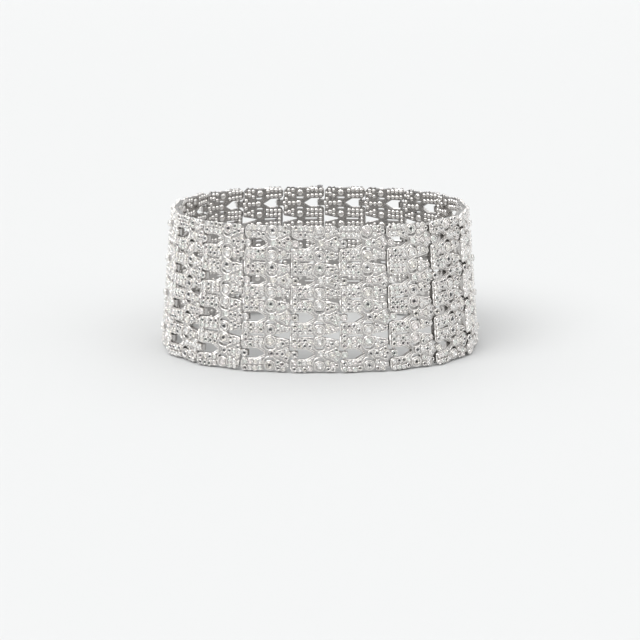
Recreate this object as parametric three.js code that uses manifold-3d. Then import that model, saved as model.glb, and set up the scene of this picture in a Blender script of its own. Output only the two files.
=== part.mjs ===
// Wide paved choker: openwork metal panels hinged side by side into a closed collar.
// Millimetres, +Z up, the front faces -Y, the bottom edge lies in the plane Z = 0.
import * as THREE from "three";
import { mergeVertices } from "three/addons/utils/BufferGeometryUtils.js";
import Module from "manifold-3d";

const wasm = await Module();
wasm.setup();

// The collar
const PANEL_COUNT = 19;
const CHORD = 21.1; // hinge axis to hinge axis, at half height
const COLLAR_HEIGHT = 63.4;
const ASPECT = 0.78; // depth over width of the plan
const PLAN_POWER = 2.4; // 2 is an ellipse, more is squarer
const FLARE = 0.083; // how much wider the bottom is than the top
const PLAN_SEARCH = [50, 100]; // half width of the plan lies between these

// One panel, seen from outside: x runs right from its left hinge axis, y runs up
const THICKNESS = 2.2;
const BODY_LEFT = -1.94;
const BODY_RIGHT = CHORD - 2.6;
const ROW_PITCH = 16.3;
const ROW_COUNT = 4;
const CORNER = 1.2;

// The hexagonal window on each row, open to the left hinge
const WINDOW_HALF = 2.37;
const WINDOW_SHOULDER = 4.5;
const WINDOW_TIP = 8.4;

// The wedge midway between rows, open to the right hinge
const WEDGE_TIP = 11.85;
const WEDGE_TIP_HALF = 0.6;
const WEDGE_MOUTH_HALF = 1.9;

// The slot midway between rows, closed all round
const SLOT_LEFT = 1.5;
const SLOT_RIGHT = 7.5;
const SLOT_HALF = 0.65;

// The crescent above and below each row, under a large stone
const CRESCENT_X = 10.3;
const CRESCENT_TOP = [1.1, 2.0];
const CRESCENT_END = [2.2, 3.2];

// The hinge
const KNUCKLE_RADIUS = 1.35;
const KNUCKLE_HALF = 1.3;
const KNUCKLE_STEPS = 4; // facets round its outer half
const NECK_ROOT = BODY_RIGHT - 0.3;
const NECK_ROOT_HALF = 0.9;
const PIN_RADIUS = 0.42;
const PIN_SIDES = 6;
const BORE_RADIUS = 0.84;
const PIN_EMBED = 0.8; // how far the soldered pin runs into each bar
const CLASP_HEAD_RADIUS = 1.6;
const CLASP_HEAD_HEIGHT = 0.9;
const CLASP_GAP = 0.3;
const CLASP_INSET = 1.0; // the clasp pin stops this far above the bottom edge

const BISECTIONS = 50;

// Halves an interval until only the place where test(x) turns false is left.
function bisect(low, high, test) {
  for (let i = 0; i < BISECTIONS; i += 1) {
    const middle = (low + high) / 2;
    if (test(middle)) low = middle;
    else high = middle;
  }
  return (low + high) / 2;
}

// A point of the plan curve at an angle, as a superellipse of the half width given.
function planPoint(halfWidth, angle) {
  const across = Math.abs(Math.cos(angle) / halfWidth) ** PLAN_POWER;
  const along = Math.abs(Math.sin(angle) / (halfWidth * ASPECT)) ** PLAN_POWER;
  const radius = (across + along) ** (-1 / PLAN_POWER);
  return new THREE.Vector2(radius * Math.cos(angle), radius * Math.sin(angle));
}

// The angles reached by walking round the plan in steps of one chord, from the back.
function walk(halfWidth) {
  const angles = [Math.PI / 2];
  for (let i = 0; i < PANEL_COUNT; i += 1) {
    const from = angles[i];
    const start = planPoint(halfWidth, from);
    const short = (angle) => planPoint(halfWidth, angle).distanceTo(start) < CHORD;
    angles.push(bisect(from, from + 1, short));
  }
  return angles;
}

// The hinge axes at half height: the walk that ends exactly where it began.
function hingePoints() {
  const overshoots = (halfWidth) => walk(halfWidth)[PANEL_COUNT] > Math.PI * 2.5;
  const halfWidth = bisect(PLAN_SEARCH[0], PLAN_SEARCH[1], overshoots);
  return walk(halfWidth).map((angle) => planPoint(halfWidth, angle));
}

// The hinge axis at a point of the plan, as its bottom end and the vector up it.
function hingeAxis(point) {
  const low = 1 + FLARE / 2;
  const high = 1 - FLARE / 2;
  const bottom = new THREE.Vector3(point.x * low, point.y * low, 0);
  const top = new THREE.Vector3(point.x * high, point.y * high, COLLAR_HEIGHT);
  return { bottom, top, along: top.clone().sub(bottom) };
}

// The frame of a panel between two hinge axes, and how those axes lean in it.
function panelFrame(left, right) {
  const x = right.bottom.clone().sub(left.bottom).normalize();
  const y = left.along.clone().addScaledVector(x, -left.along.dot(x)).normalize();
  const z = x.clone().cross(y);
  const middle = new THREE.Vector3();
  [left.bottom, left.top, right.bottom, right.top].forEach((end) => middle.addScaledVector(end, 0.25));
  return {
    basis: new THREE.Matrix4().makeBasis(x, y, z),
    middle,
    height: left.along.dot(y),
    leftLean: left.along.dot(x) / left.along.dot(y),
    rightLean: right.along.dot(x) / right.along.dot(y),
    leftStart: left.bottom.clone().add(left.top).multiplyScalar(0.5).sub(middle).dot(x),
  };
}

// Fits a point of the straight panel between the two leaning hinge axes.
function fit(frame, x, y) {
  const left = frame.leftStart + frame.leftLean * y;
  const right = -frame.leftStart + frame.rightLean * y;
  return new THREE.Vector2(left + (x * (right - left)) / CHORD, y);
}

function rows() {
  const first = (-ROW_PITCH * (ROW_COUNT - 1)) / 2;
  return Array.from({ length: ROW_COUNT }, (_, i) => first + i * ROW_PITCH);
}

function gaps() {
  return rows().slice(1).map((y) => y - ROW_PITCH / 2);
}

// The right edge, upwards: a wedge between each two rows.
function rightEdge() {
  return gaps().flatMap((y) => [
    [BODY_RIGHT, y - WEDGE_MOUTH_HALF],
    [WEDGE_TIP, y - WEDGE_TIP_HALF],
    [WEDGE_TIP, y + WEDGE_TIP_HALF],
    [BODY_RIGHT, y + WEDGE_MOUTH_HALF],
  ]);
}

// The left edge, downwards: a hexagonal window on each row, bars between them.
function leftEdge() {
  const points = [];
  rows().reverse().forEach((y) => {
    const top = y + WINDOW_HALF;
    const bottom = y - WINDOW_HALF;
    points.push([BODY_LEFT, top + CORNER], [BODY_LEFT + CORNER, top], [WINDOW_SHOULDER, top]);
    points.push([WINDOW_TIP, y]);
    points.push([WINDOW_SHOULDER, bottom], [BODY_LEFT + CORNER, bottom], [BODY_LEFT, bottom - CORNER]);
  });
  return points;
}

function outline(height) {
  const half = height / 2;
  return [
    [BODY_LEFT, CORNER - half],
    [BODY_LEFT + CORNER, -half],
    [BODY_RIGHT - CORNER, -half],
    [BODY_RIGHT, CORNER - half],
    ...rightEdge(),
    [BODY_RIGHT, half - CORNER],
    [BODY_RIGHT - CORNER, half],
    [BODY_LEFT + CORNER, half],
    [BODY_LEFT, half - CORNER],
    ...leftEdge(),
  ];
}

function slot(y) {
  return [
    [SLOT_LEFT, y - SLOT_HALF],
    [SLOT_LEFT, y + SLOT_HALF],
    [SLOT_RIGHT, y + SLOT_HALF],
    [SLOT_RIGHT, y - SLOT_HALF],
  ];
}

// The crescent on one side of a row; side is 1 above the row and -1 below it.
function crescent(y, side) {
  return [
    [CRESCENT_X - CRESCENT_END[0], y + side * CRESCENT_END[1]],
    [CRESCENT_X - CRESCENT_TOP[0], y + side * CRESCENT_TOP[1]],
    [CRESCENT_X + CRESCENT_TOP[0], y + side * CRESCENT_TOP[1]],
    [CRESCENT_X + CRESCENT_END[0], y + side * CRESCENT_END[1]],
  ];
}

function toSolid(geometry) {
  geometry.deleteAttribute("normal");
  geometry.deleteAttribute("uv");
  const merged = mergeVertices(geometry, 1e-4);
  const vertProperties = new Float32Array(merged.attributes.position.array);
  const triVerts = new Uint32Array(merged.index.array);
  return new wasm.Manifold(new wasm.Mesh({ numProp: 3, vertProperties, triVerts }));
}

function toGeometry(solid) {
  const { vertProperties, triVerts } = solid.getMesh();
  const geometry = new THREE.BufferGeometry();
  geometry.setAttribute("position", new THREE.BufferAttribute(vertProperties, 3));
  geometry.setIndex(new THREE.BufferAttribute(triVerts, 1));
  return geometry;
}

function plate(frame) {
  const path = (points) => points.map(([x, y]) => fit(frame, x, y));
  const shape = new THREE.Shape(path(outline(frame.height)));
  gaps().forEach((y) => shape.holes.push(new THREE.Path(path(slot(y)))));
  rows().forEach((y) => {
    shape.holes.push(new THREE.Path(path(crescent(y, 1))));
    shape.holes.push(new THREE.Path(path(crescent(y, -1))));
  });
  const geometry = new THREE.ExtrudeGeometry(shape, { depth: THICKNESS, bevelEnabled: false });
  geometry.translate(0, 0, -THICKNESS / 2);
  return toSolid(geometry);
}

// An upright prism about a hinge axis of the panel, from one height to another.
function prism(frame, x, from, to, radius, sides) {
  const geometry = new THREE.CylinderGeometry(radius, radius, to - from, sides);
  const foot = fit(frame, x, from);
  const head = fit(frame, x, to);
  geometry.rotateZ(Math.atan2(foot.x - head.x, to - from));
  geometry.translate((foot.x + head.x) / 2, (from + to) / 2, 0);
  return toSolid(geometry);
}

// The knuckle seen along its axis: a neck out of the body that ends in an eye.
function knuckleShape() {
  const shape = new THREE.Shape();
  shape.moveTo(NECK_ROOT - CHORD, NECK_ROOT_HALF);
  shape.lineTo(NECK_ROOT - CHORD, -NECK_ROOT_HALF);
  for (let i = 0; i <= KNUCKLE_STEPS; i += 1) {
    const angle = Math.PI * (i / KNUCKLE_STEPS - 0.5);
    shape.lineTo(KNUCKLE_RADIUS * Math.cos(angle), KNUCKLE_RADIUS * Math.sin(angle));
  }
  const eye = new THREE.Path();
  for (let i = 0; i < PIN_SIDES; i += 1) {
    const angle = (Math.PI * 2 * i) / PIN_SIDES;
    const point = [BORE_RADIUS * Math.sin(angle), BORE_RADIUS * Math.cos(angle)];
    if (i === 0) eye.moveTo(...point);
    else eye.lineTo(...point);
  }
  shape.holes.push(eye);
  return shape;
}

function knuckle(frame, y) {
  const settings = { depth: KNUCKLE_HALF * 2, bevelEnabled: false };
  const geometry = new THREE.ExtrudeGeometry(knuckleShape(), settings);
  geometry.rotateX(Math.PI / 2);
  geometry.translate(fit(frame, CHORD, y).x, y + KNUCKLE_HALF, 0);
  return toSolid(geometry);
}

function bore(frame) {
  const reach = frame.height / 2 + 1;
  return prism(frame, 0, -reach, reach, BORE_RADIUS, PIN_SIDES);
}

function solderedPin(frame, y) {
  const reach = WINDOW_HALF + PIN_EMBED;
  return prism(frame, 0, y - reach, y + reach, PIN_RADIUS, PIN_SIDES);
}

// One panel; where the clasp pin opens the collar, its bars are bored and hold no pin.
function panel(frame, bored) {
  let solid = plate(frame);
  rows().forEach((y) => {
    solid = solid.add(knuckle(frame, y));
  });
  if (bored) return solid.subtract(bore(frame));
  rows().forEach((y) => {
    solid = solid.add(solderedPin(frame, y));
  });
  return solid;
}

// The pull-out pin that closes the collar, with a flat head over the top edge.
function claspPin(axis) {
  const length = axis.along.length();
  const top = length + CLASP_GAP + CLASP_HEAD_HEIGHT;
  const profile = [
    [0, CLASP_INSET],
    [PIN_RADIUS, CLASP_INSET],
    [PIN_RADIUS, length + CLASP_GAP],
    [CLASP_HEAD_RADIUS, length + CLASP_GAP],
    [CLASP_HEAD_RADIUS, top],
    [0, top],
  ];
  const points = profile.map(([radius, height]) => new THREE.Vector2(radius, height));
  const geometry = new THREE.LatheGeometry(points, PIN_SIDES);
  geometry.rotateX(Math.PI / 2);
  return geometry;
}

function metal() {
  return new THREE.MeshStandardMaterial({ color: 0xc9cacc, roughness: 0.2, metalness: 1 });
}

function placedPanel(index, left, right) {
  const frame = panelFrame(left, right);
  const mesh = new THREE.Mesh(toGeometry(panel(frame, index === 0)), metal());
  mesh.name = `panel_${String(index + 1).padStart(2, "0")}`;
  mesh.quaternion.setFromRotationMatrix(frame.basis);
  mesh.position.copy(frame.middle);
  return mesh;
}

function placedClaspPin(axis) {
  const mesh = new THREE.Mesh(claspPin(axis), metal());
  mesh.name = "clasp_pin";
  mesh.quaternion.setFromUnitVectors(new THREE.Vector3(0, 0, 1), axis.along.clone().normalize());
  mesh.position.copy(axis.bottom);
  return mesh;
}

const axes = hingePoints().map(hingeAxis);
const choker = new THREE.Group();
choker.name = "choker";
for (let i = 0; i < PANEL_COUNT; i += 1) {
  choker.add(placedPanel(i, axes[i], axes[i + 1]));
}
choker.add(placedClaspPin(axes[0]));

export default choker;
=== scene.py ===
import math

import bpy
import numpy as np
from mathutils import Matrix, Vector


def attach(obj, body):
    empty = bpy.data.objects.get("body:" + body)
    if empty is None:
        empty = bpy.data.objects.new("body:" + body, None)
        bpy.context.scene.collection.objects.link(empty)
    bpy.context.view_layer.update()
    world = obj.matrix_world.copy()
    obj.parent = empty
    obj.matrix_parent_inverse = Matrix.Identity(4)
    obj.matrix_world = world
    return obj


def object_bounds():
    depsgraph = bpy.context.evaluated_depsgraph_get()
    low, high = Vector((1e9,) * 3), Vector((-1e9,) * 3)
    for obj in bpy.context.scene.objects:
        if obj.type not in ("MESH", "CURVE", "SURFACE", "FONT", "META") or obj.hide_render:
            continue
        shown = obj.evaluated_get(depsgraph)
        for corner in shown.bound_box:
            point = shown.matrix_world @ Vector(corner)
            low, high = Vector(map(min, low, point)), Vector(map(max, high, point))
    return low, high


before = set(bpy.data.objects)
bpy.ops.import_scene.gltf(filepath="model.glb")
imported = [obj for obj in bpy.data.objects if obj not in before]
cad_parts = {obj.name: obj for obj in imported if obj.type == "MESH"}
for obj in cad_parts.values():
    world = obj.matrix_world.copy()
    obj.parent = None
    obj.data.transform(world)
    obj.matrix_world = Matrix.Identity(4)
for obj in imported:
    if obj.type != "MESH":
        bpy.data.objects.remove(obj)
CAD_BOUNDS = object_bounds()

# Lengths of the motif are in millimetres; a panel's x runs right from its left hinge
# axis to its right one, y runs up from its middle and z out of its face.
MM = 0.001
CHORD = 21.1
ROW_PITCH = 16.3
ROWS = [ROW_PITCH * (i - 1.5) for i in range(4)]
FACE = 1.1  # the outer face of the plate, above the panel's middle plane
KNUCKLE_FACE = 1.75  # the foot of a knuckle's cup
CORNER_LEFT = -0.74  # the ends of the plate's top and bottom edges
CORNER_RIGHT = 17.3

# The panel's edges: where its body ends, and its windows and wedges
BODY_RIGHT = 18.5
WINDOW_HALF = 2.37
WINDOW_SHOULDER = 4.5
WINDOW_TIP = 8.4
WEDGE_TIP = 11.85

# Round loops of the large stones
LOOP_X = 10.3
LOOP_INNER = {"y": 5.6, "radius": 2.3, "stone": 3.3}
LOOP_OUTER = {"y": 5.3, "radius": 2.15, "stone": 3.1}

# Stones beside a row on either side of it: x, distance from the row, diameter
SIDE_STONES = [
    (-0.30, 3.90, 2.05), (-0.30, 6.05, 2.05),
    (1.88, 3.80, 2.1), (4.05, 3.75, 2.1), (6.20, 3.55, 2.0),
    (1.90, 6.00, 2.1), (4.10, 6.15, 2.1), (6.25, 5.75, 2.05),
    (13.90, 3.70, 1.9), (15.85, 4.60, 2.2), (17.70, 5.00, 1.55),
    (14.00, 5.95, 1.9), (17.45, 1.95, 2.0),
]
# Stones on a row: x, diameter; the last sits on the knuckle
ROW_STONES = [(11.0, 2.8), (13.55, 2.1), (15.75, 2.1), (18.3, 2.1)]
KNUCKLE_STONE = 2.7
EDGE_STONE = (16.2, 6.7, 1.8)  # only beside the top and bottom edges
BAR_STONE = (-0.30, 1.95)  # midway between rows

STONE_TILT = math.radians(7)  # stones lean by up to this much
STONE_LIFT = 0.8  # girdle above the face
PAINTED_DARK_CULETS = 0.4  # share of stones whose culet face is painted near black, as painted shade at the stone's centre
OVERHANG = 0.6  # the outermost stones reach this far past the plate's edge
EDGE_REACH = 5.5  # stones further than this from an outermost row are outermost
CUP_SEGMENTS = 12
# Outwards from the girdle and up from the face
CUP_WALL = [(0.14, -0.05), (0.22, 0.5), (0.18, 0.83), (0.04, 0.93), (-0.08, 0.85)]
# Outwards from the girdle, up from the face, half width
CLAW_SECTIONS = [(0.12, 0.3, 0.17), (0.03, 0.87, 0.16), (-0.2, 1.12, 0.1)]
CLAW_OFFSET = 0.06
WIRE_SIDES = 6
WIRE_RADII = {
    "loop": 0.3, "link": 0.3, "strand": 0.3, "arch": 0.27,
    "leaf": 0.26, "slot": 0.22, "wedge": 0.28,
}
SEED = 7

# Materials of a stone piece: four glasses first, then these two
GLASS_CHOICES = [0, 0, 0, 1, 2, 3]
FOIL = 4
# The culet face painted near black: painted shade at a stone's centre, not an open hole
CULET_SHADE = 5
SLOT_LEFT, SLOT_RIGHT, SLOT_HALF = 1.5, 7.5, 0.65
FLOOR_RADIUS = 6.0  # metres, as are the next two
FLOOR_CURVE = 1.5
FLOOR_DROP = 0.0009  # clear of the lowest cups

CAMERA_ELEVATION = math.radians(14.0)
CAMERA_DISTANCE = 0.75  # metres
CAMERA_LOWERED = 0.0228  # the aim is this far under the middle, to leave room above
CAMERA_LENS = 90
CAMERA_SENSOR = 36

# The studio's ceiling, by the sine of the height above the horizon
DIM_BELOW, DIM_STRENGTH = 0.3, 0.35
WHITE_ABOVE, WHITE_STRENGTH = 0.6, 0.95


class Panel:
    """The frame of one CAD panel, measured from its mesh."""

    def __init__(self, node):
        points = np.array([v.co for v in node.data.vertices], float)
        points = np.unique(points.round(7), axis=0)
        middle = points.mean(axis=0)
        out = np.linalg.svd(points - middle)[2][2]
        out *= np.sign(out @ np.array([middle[0], middle[1], 0.0]))
        across = np.cross([0.0, 0.0, 1.0], out)
        self.out = out
        self.across = across / np.linalg.norm(across)
        self.up = np.cross(self.out, self.across)
        local = (points - middle) @ np.array([self.across, self.up, self.out]).T
        low, high = local.min(axis=0), local.max(axis=0)
        centre = (low + high) / 2
        self.origin = middle + centre[1] * self.up + centre[2] * self.out
        self.half = (high[1] - low[1]) / 2
        top = local[local[:, 1] > high[1] - 0.1 * MM][:, 0]
        bottom = local[local[:, 1] < low[1] + 0.1 * MM][:, 0]
        self.top = (top.min(), top.max())
        self.bottom = (bottom.min(), bottom.max())

    def place(self, points):
        """Takes points of the straight motif, in millimetres, to the row frame."""
        share = (points[:, 0] - CORNER_LEFT) / (CORNER_RIGHT - CORNER_LEFT)
        height = points[:, 1] * MM
        rise = (height / self.half + 1) / 2
        left = self.bottom[0] + rise * (self.top[0] - self.bottom[0])
        right = self.bottom[1] + rise * (self.top[1] - self.bottom[1])
        x = left + share * (right - left)
        local = np.stack([x, height, points[:, 2] * MM], axis=1)
        return self.origin + local @ np.array([self.across, self.up, self.out])


class Build:
    """Collects vertices and faces, with a material number for each face."""

    def __init__(self):
        self.points, self.faces, self.slots, self.smooth = [], [], [], []
        self.count = 0

    def add(self, points, faces, slots=0, smooth=False):
        start = self.count
        self.points.append(np.asarray(points, float))
        self.faces += [tuple(start + i for i in face) for face in faces]
        self.slots += [slots] * len(faces) if isinstance(slots, int) else list(slots)
        self.smooth += [smooth] * len(faces)
        self.count += len(points)

    def mesh(self, name, panel, materials):
        data = bpy.data.meshes.new(name)
        data.from_pydata(panel.place(np.concatenate(self.points)).tolist(), [], self.faces)
        for material in materials:
            data.materials.append(material)
        data.polygons.foreach_set("material_index", self.slots)
        data.polygons.foreach_set("use_smooth", self.smooth)
        data.update()
        piece = bpy.data.objects.new(name, data)
        bpy.context.scene.collection.objects.link(piece)
        return piece


def circle(count, radius, height, turn=0.0):
    """Points round the z axis, turned by a share of one step."""
    angles = (np.arange(count) + turn) * 2 * math.pi / count
    flat = np.full(count, float(height))
    return np.stack([radius * np.cos(angles), radius * np.sin(angles), flat], axis=1)


def stone_template():
    """A round brilliant one unit across: crown faces, foiled pavilion, then the culet."""
    girdle = circle(16, 0.5, 0.0)
    kites = circle(8, 0.405, 0.12, 0.5)
    table = circle(8, 0.27, 0.2)
    lower = circle(8, 0.24, -0.17, 0.5)
    culet = circle(8, 0.19, -0.198, 0.5)
    points = np.concatenate([girdle, kites, table, lower, culet])
    g, k, t, p, c = 0, 16, 24, 32, 40  # the first point of each ring
    crown = [tuple(t + i for i in range(8))]
    foil = []
    for i in range(8):
        nxt, edge, after = (i + 1) % 8, g + 2 * i + 1, g + (2 * i + 2) % 16
        crown.append((t + i, k + i, t + nxt))
        crown.append((t + nxt, k + i, after, k + nxt))
        crown.append((k + i, g + 2 * i, edge))
        crown.append((k + i, edge, after))
        foil.append((p + i, edge, g + 2 * i))
        foil.append((p + i, after, edge))
        foil.append((p + i, c + i, c + nxt, p + nxt, after))
    culet_face = tuple(c + i for i in reversed(range(8)))
    return points, crown + foil + [culet_face], [0] * len(crown) + [1] * len(foil) + [2]


def turned(points, spin, lean, towards):
    """Spins points about z, then leans them by a small angle towards a direction."""
    cos, sin = math.cos(spin), math.sin(spin)
    points = points @ np.array([[cos, sin, 0], [-sin, cos, 0], [0, 0, 1]])
    axis = np.array([math.cos(towards), math.sin(towards), 0.0])
    side = np.array([-axis[1], axis[0], 0.0])
    up = np.array([0.0, 0.0, 1.0])
    a = points @ axis
    h = points @ up
    new_a = a * math.cos(lean) + h * math.sin(lean)
    new_h = h * math.cos(lean) - a * math.sin(lean)
    return np.outer(new_a, axis) + np.outer(points @ side, side) + np.outer(new_h, up)


def revolved(profile, segments):
    """An open surface of revolution about z through (radius, height) pairs, bottom first."""
    points = np.concatenate([circle(segments, r, h) for r, h in profile])
    faces = []
    for ring in range(len(profile) - 1):
        for i in range(segments):
            j = (i + 1) % segments
            a, b = ring * segments, (ring + 1) * segments
            faces.append((a + i, a + j, b + j, b + i))
    return points, faces


def cup(radius):
    """The wall round a stone of this radius, turned in over its girdle."""
    return revolved([(radius + out, height) for out, height in CUP_WALL], CUP_SEGMENTS)


def cup_back(radius):
    """The smooth closed dome behind a stone, with z pointing out of the inner face."""
    points, faces = revolved([(radius, 0.0), (radius * 0.8, 0.38), (radius * 0.4, 0.55)], 10)
    faces.append(tuple(range(20, 30)))
    return points * [1, 1, -1], [face[::-1] for face in faces]


def knuckle_bowl():
    """The round bead that carries a stone on a knuckle."""
    rim = KNUCKLE_STONE / 2 + 0.16
    return revolved([(0.8, 0.6), (rim - 0.2, 1.1), (rim, 1.5), (rim, KNUCKLE_FACE)], CUP_SEGMENTS)


def claw():
    """One claw leaning in over a girdle, standing at the origin and facing -x."""
    points = []
    for x, z, half in CLAW_SECTIONS:
        points += [(x + half, -half, z), (x + half, half, z)]
        points += [(x - half, half, z), (x - half, -half, z)]
    faces = []
    for ring in (0, 4):
        for i in range(4):
            j = (i + 1) % 4
            faces.append((ring + i, ring + j, ring + 4 + j, ring + 4 + i))
    faces.append((8, 9, 10, 11))
    return np.array(points), faces


def tube(path, radius, closed=False):
    """A round wire along points of the panel, with its ends closed."""
    path = np.asarray(path, float)
    count = len(path)
    before = np.roll(path, 1, axis=0)
    after = np.roll(path, -1, axis=0)
    if not closed:
        before[0], after[-1] = path[0], path[-1]
    along = after - before
    along /= np.linalg.norm(along, axis=1)[:, None]
    up = np.array([0.0, 0.0, 1.0])
    side = np.cross(along, up)
    side /= np.linalg.norm(side, axis=1)[:, None]
    over = np.cross(side, along)
    angles = np.arange(WIRE_SIDES) * 2 * math.pi / WIRE_SIDES
    rings = [path + radius * (math.cos(a) * side + math.sin(a) * over) for a in angles]
    points = np.stack(rings, axis=1).reshape(-1, 3)
    faces = []
    for i in range(count if closed else count - 1):
        a, b = i * WIRE_SIDES, (i + 1) % count * WIRE_SIDES
        for j in range(WIRE_SIDES):
            k = (j + 1) % WIRE_SIDES
            faces.append((a + j, a + k, b + k, b + j))
    if not closed:
        faces.append(tuple(range(WIRE_SIDES))[::-1])
        faces.append(tuple(range((count - 1) * WIRE_SIDES, count * WIRE_SIDES)))
    return points, faces


def arc(x, y, radius, start, end, steps):
    """Points round a centre, from one angle in degrees to another."""
    angles = np.radians(np.linspace(start, end, steps + 1))
    return [(x + radius * math.cos(a), y + radius * math.sin(a)) for a in angles]


def loop_of(outermost):
    """The loop beside a row; the ones at the top and bottom edges are smaller."""
    return LOOP_OUTER if outermost else LOOP_INNER


def stones_of_panel():
    """Every stone of a panel, as x, y, diameter and the height of the face under it."""
    stones = []
    for index, row in enumerate(ROWS):
        for side in (-1, 1):
            outermost = index == (0 if side < 0 else 3)
            loop = loop_of(outermost)
            for x, y, d in SIDE_STONES:
                overhang = OVERHANG if outermost and y > EDGE_REACH else 0
                stones.append((x, row + side * (y + overhang), d, FACE))
            stones.append((LOOP_X, row + side * loop["y"], loop["stone"], FACE))
            if outermost:
                x, y, d = EDGE_STONE
                stones.append((x, row + side * y, d, FACE))
        stones += [(x, row, d, FACE) for x, d in ROW_STONES]
        stones.append((CHORD, row, KNUCKLE_STONE, KNUCKLE_FACE))
    for row in ROWS[1:]:
        stones.append((BAR_STONE[0], row - ROW_PITCH / 2, BAR_STONE[1], FACE))
    return stones


def link_edge(row, side, outermost, half):
    """The smooth rim of a link beside a row: round the window, then down the bar."""
    path = [(WINDOW_TIP, 0.25), (WINDOW_SHOULDER + 0.4, WINDOW_HALF)]
    path += [(WINDOW_SHOULDER - 0.4, WINDOW_HALF + 0.05), (0.6, WINDOW_HALF + 0.05)]
    path += arc(-0.45, WINDOW_HALF + 1.55, 1.5, 270, 180, 4)
    end = half - abs(row) if outermost else ROW_PITCH / 2
    if outermost:
        path += arc(-0.45, end - 1.5, 1.5, 180, 90, 4)
        path += [(7.6, end - 0.05)]
    else:
        path += [(-1.95, end)]
    return [(x, row + side * y, FACE) for x, y in path]


def inner_strand(row, side):
    """The second thin wire beside the window's tip."""
    path = [(8.2, 1.2), (5.6, 2.75), (4.2, 2.95)]
    return [(x, row + side * y, FACE + 0.05) for x, y in path]


def crescent_arch(row, side):
    """The thin wire beside a loop, then between the crescent window and the row's stones."""
    path = [(7.55, 5.3), (7.6, 3.9), (7.9, 2.8), (8.8, 1.85)]
    path += [(9.8, 1.5), (11.3, 1.5), (12.2, 1.85), (13.0, 2.7)]
    return [(x, row + side * y, FACE) for x, y in path]


def fan_edge(row, side):
    """The leaf-shaped wire that gathers the row's stones into the knuckle."""
    path = [(12.6, 1.45), (14.6, 1.35), (16.2, 2.3), (17.6, 3.15), (18.5, 2.4), (18.7, 1.3)]
    return [(x, row + side * y, FACE + 0.1) for x, y in path]


def wedge_edge(gap, side):
    """The rim of the link along one side of a wedge, and round its end."""
    path = [(WEDGE_TIP, 0.65), (BODY_RIGHT - 0.5, 1.85), (BODY_RIGHT, 2.4)]
    path += [(BODY_RIGHT, 4.4)]
    return [(x, gap + side * y, FACE) for x, y in path]


def slot_edge(gap):
    """The rim of a slot, with a pointed right end."""
    path = [(SLOT_LEFT, -SLOT_HALF), (SLOT_RIGHT, -SLOT_HALF), (SLOT_RIGHT + 0.3, 0)]
    path += [(SLOT_RIGHT, SLOT_HALF), (SLOT_LEFT, SLOT_HALF)]
    return [(x, gap + y, FACE) for x, y in path]


def add_wires(build, panel):
    """Every rim, strand and loop of a panel."""
    half = panel.half / MM

    def add_wire(path, kind, closed=False):
        build.add(*tube(path, WIRE_RADII[kind], closed), smooth=True)

    for index, row in enumerate(ROWS):
        for side in (-1, 1):
            outermost = index == (0 if side < 0 else 3)
            loop = loop_of(outermost)
            ring = arc(LOOP_X, row + side * loop["y"], loop["radius"], 0, 345, 23)
            add_wire([(x, y, FACE + 0.1) for x, y in ring], "loop", True)
            add_wire(link_edge(row, side, outermost, half), "link")
            add_wire(inner_strand(row, side), "strand")
            add_wire(crescent_arch(row, side), "arch")
            add_wire(fan_edge(row, side), "leaf")
    for row in ROWS[1:]:
        gap = row - ROW_PITCH / 2
        add_wire(slot_edge(gap), "slot", True)
        add_wire(wedge_edge(gap, 1), "wedge")
        add_wire(wedge_edge(gap, -1), "wedge")


def add_setting(build, x, y, diameter, face, spin):
    """The cup and four claws that hold one stone, with a smooth back behind the plate."""
    place = np.array([x, y, face])
    points, faces = cup(diameter / 2)
    build.add(points + place, faces, smooth=True)
    claw_points, claw_faces = claw()
    for quarter in range(4):
        reach = claw_points + [diameter / 2 + CLAW_OFFSET, 0, 0]
        build.add(turned(reach, spin + quarter * math.pi / 2, 0, 0) + place, claw_faces)
    if face == FACE:
        points, faces = cup_back(diameter / 2)
        build.add(points + [x, y, -face], faces, smooth=True)


def add_stone(build, template, x, y, diameter, face, spin, rng):
    """One stone with its own lean, tint of glass, and a foiled culet or one painted near black as
    painted shade.
    """
    points, faces, slots = template
    lean = rng.uniform(0, STONE_TILT)
    points = turned(points * diameter, spin, lean, rng.uniform(0, 2 * math.pi))
    tint = rng.choice(GLASS_CHOICES)
    # Some culets are painted near black, as painted shade
    culet = CULET_SHADE if rng.random() < PAINTED_DARK_CULETS else FOIL
    slots = [(tint, FOIL, culet)[slot] for slot in slots]
    build.add(points + [x, y, face + STONE_LIFT], faces, slots)


def dress_panel(name, node, metal, gems, rng):
    """Stones and settings over one CAD panel."""
    panel = Panel(node)
    template = stone_template()
    stones, settings = Build(), Build()
    for x, y, diameter, face in stones_of_panel():
        spin = rng.uniform(0, math.pi / 2)
        add_stone(stones, template, x, y, diameter, face, rng.uniform(0, 2 * math.pi), rng)
        add_setting(settings, x, y, diameter, face, spin)
    points, faces = knuckle_bowl()
    for row in ROWS:
        settings.add(points + [CHORD, row, 0], faces, smooth=True)
    add_wires(settings, panel)
    stone_piece = stones.mesh(f"stones_{name}", panel, gems)
    setting_piece = settings.mesh(f"settings_{name}", panel, [metal])
    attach(stone_piece, "root")
    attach(setting_piece, "root")


def new_material(name):
    material = bpy.data.materials.new(name)
    material.use_nodes = True
    return material, material.node_tree.nodes, material.node_tree.links


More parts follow.
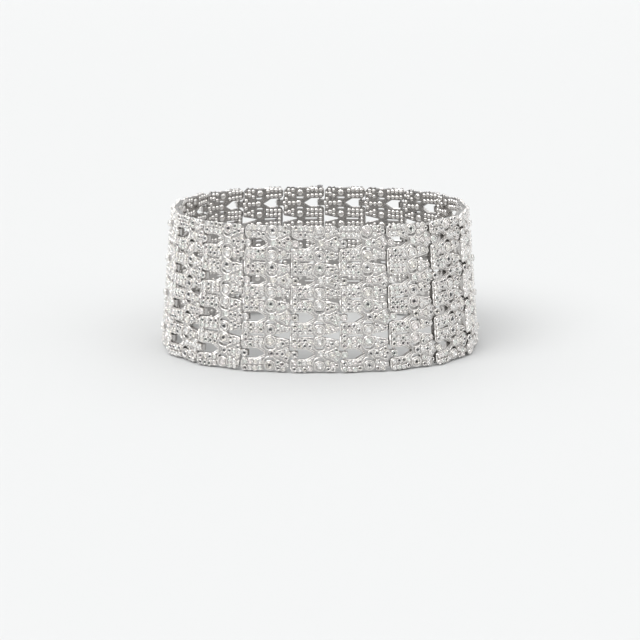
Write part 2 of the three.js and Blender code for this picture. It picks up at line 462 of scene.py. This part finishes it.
def plated_metal(name, colour, roughness):
    """Polished plating with a faint cast grain and uneven polish."""
    material, nodes, links = new_material(name)
    shader = nodes["Principled BSDF"]
    shader.inputs["Base Color"].default_value = (*colour, 1)
    shader.inputs["Metallic"].default_value = 1
    grain = nodes.new("ShaderNodeTexNoise")
    grain.inputs["Scale"].default_value = 900
    grain.inputs["Detail"].default_value = 3
    polish = nodes.new("ShaderNodeMapRange")
    polish.inputs["To Min"].default_value = roughness[0]
    polish.inputs["To Max"].default_value = roughness[1]
    links.new(grain.outputs["Fac"], polish.inputs["Value"])
    links.new(polish.outputs["Result"], shader.inputs["Roughness"])
    bump = nodes.new("ShaderNodeBump")
    bump.inputs["Strength"].default_value = 0.15
    bump.inputs["Distance"].default_value = 0.0001
    links.new(grain.outputs["Fac"], bump.inputs["Height"])
    links.new(bump.outputs["Normal"], shader.inputs["Normal"])
    return material


def cut_glass(name, colour):
    """Clear cut glass with the faintest polish marks."""
    material, nodes, links = new_material(name)
    shader = nodes["Principled BSDF"]
    shader.inputs["Base Color"].default_value = (*colour, 1)
    shader.inputs["Transmission Weight"].default_value = 1
    shader.inputs["IOR"].default_value = 1.58
    marks = nodes.new("ShaderNodeTexNoise")
    marks.inputs["Scale"].default_value = 1500
    polish = nodes.new("ShaderNodeMapRange")
    polish.inputs["To Min"].default_value = 0.0
    polish.inputs["To Max"].default_value = 0.05
    links.new(marks.outputs["Fac"], polish.inputs["Value"])
    links.new(polish.outputs["Result"], shader.inputs["Roughness"])
    return material


def pale_ground():
    """Matt, very pale and slightly cool."""
    material = new_material("ground")[0]
    shader = material.node_tree.nodes["Principled BSDF"]
    shader.inputs["Base Color"].default_value = (0.69, 0.697, 0.697, 1)
    shader.inputs["Roughness"].default_value = 0.9
    return material


def make_floor(level):
    """A pale round floor whose far edge curves up into a low wall on every side."""
    profile = [(FLOOR_RADIUS + FLOOR_CURVE * math.sin(a), FLOOR_CURVE - FLOOR_CURVE * math.cos(a))
               for a in np.linspace(0, math.pi / 2, 9)]
    points, wall = revolved(profile, 96)
    faces = [face[::-1] for face in wall] + [tuple(range(96))]
    data = bpy.data.meshes.new("floor")
    data.from_pydata((points + [0, 0, level]).tolist(), [], faces)
    data.materials.append(pale_ground())
    data.polygons.foreach_set("use_smooth", [True] * len(faces))
    floor = bpy.data.objects.new("floor", data)
    bpy.context.scene.collection.objects.link(floor)


def aim(piece, target):
    """Turns a camera or a light towards a point."""
    piece.rotation_mode = "QUATERNION"
    piece.rotation_quaternion = (target - piece.location).to_track_quat("-Z", "Y")


def make_light(name, azimuth, elevation, strength, width):
    """A broad soft light far off; azimuth 0 is in front and 90 on the right."""
    data = bpy.data.lights.new(name, "SUN")
    data.energy = strength
    data.angle = math.radians(width)
    light = bpy.data.objects.new(name, data)
    bpy.context.scene.collection.objects.link(light)
    a, e = math.radians(azimuth), math.radians(elevation)
    light.location = (math.sin(a) * math.cos(e), -math.cos(a) * math.cos(e), math.sin(e))
    aim(light, Vector((0, 0, 0)))


def make_world():
    """A white ceiling over a dim band just above the horizon."""
    world = bpy.data.worlds.new("studio")
    world.use_nodes = True
    nodes, links = world.node_tree.nodes, world.node_tree.links
    shade = nodes["Background"]
    shade.inputs["Color"].default_value = (1, 1, 1, 1)
    direction = nodes.new("ShaderNodeTexCoord")
    split = nodes.new("ShaderNodeSeparateXYZ")
    ceiling = nodes.new("ShaderNodeMapRange")
    ceiling.inputs["From Min"].default_value = DIM_BELOW
    ceiling.inputs["From Max"].default_value = WHITE_ABOVE
    ceiling.inputs["To Min"].default_value = DIM_STRENGTH
    ceiling.inputs["To Max"].default_value = WHITE_STRENGTH
    links.new(direction.outputs["Generated"], split.inputs["Vector"])
    links.new(split.outputs["Z"], ceiling.inputs["Value"])
    links.new(ceiling.outputs["Result"], shade.inputs["Strength"])
    bpy.context.scene.world = world


def make_camera(centre):
    """Looks at the collar from a little above, as far off as the perspective asks."""
    back = Vector((0, -math.cos(CAMERA_ELEVATION), math.sin(CAMERA_ELEVATION)))
    up = Vector((0, math.sin(CAMERA_ELEVATION), math.cos(CAMERA_ELEVATION)))
    target = centre - up * CAMERA_LOWERED
    data = bpy.data.cameras.new("camera")
    data.lens = CAMERA_LENS
    data.sensor_width = CAMERA_SENSOR
    camera = bpy.data.objects.new("camera", data)
    bpy.context.scene.collection.objects.link(camera)
    camera.location = target + back * CAMERA_DISTANCE
    aim(camera, target)
    bpy.context.scene.camera = camera


def main():
    """Dresses every panel, then sets the stage."""
    rng = np.random.default_rng(SEED)
    # The plate is coloured far darker than the settings: painted shade in the recesses between
    # the cups
    plate = plated_metal("plate_metal", (0.5, 0.487, 0.473), (0.12, 0.3))
    metal = plated_metal("setting_metal", (0.93, 0.91, 0.89), (0.14, 0.28))
    clasp = plated_metal("clasp_metal", (0.76, 0.76, 0.77), (0.1, 0.2))
    gems = [
        cut_glass("glass_clear", (1.0, 1.0, 1.0)),
        cut_glass("glass_blush", (1.0, 0.96, 0.96)),
        cut_glass("glass_mint", (0.96, 1.0, 0.97)),
        cut_glass("glass_straw", (1.0, 0.985, 0.94)),
        plated_metal("foil", (0.95, 0.935, 0.92), (0.16, 0.3)),
        # Near-black metal for culet faces: painted shade at the centre of some stones
        plated_metal("culet_painted_shade", (0.07, 0.07, 0.072), (0.3, 0.5)),
    ]
    for name, node in sorted(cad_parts.items()):
        node.data.materials.clear()
        node.data.materials.append(clasp if name == "clasp_pin" else plate)
        if name.startswith("panel"):
            dress_panel(name, node, metal, gems, rng)
    low, high = CAD_BOUNDS
    make_floor(low.z - FLOOR_DROP)
    make_world()
    make_light("key", -42, 48, 1.5, 42)
    make_light("fill", 55, 40, 0.35, 50)
    make_light("back", 170, 55, 0.25, 50)
    make_camera(Vector((0, 0, (low.z + high.z) / 2)))
    bpy.context.scene.view_settings.view_transform = "Standard"


main()
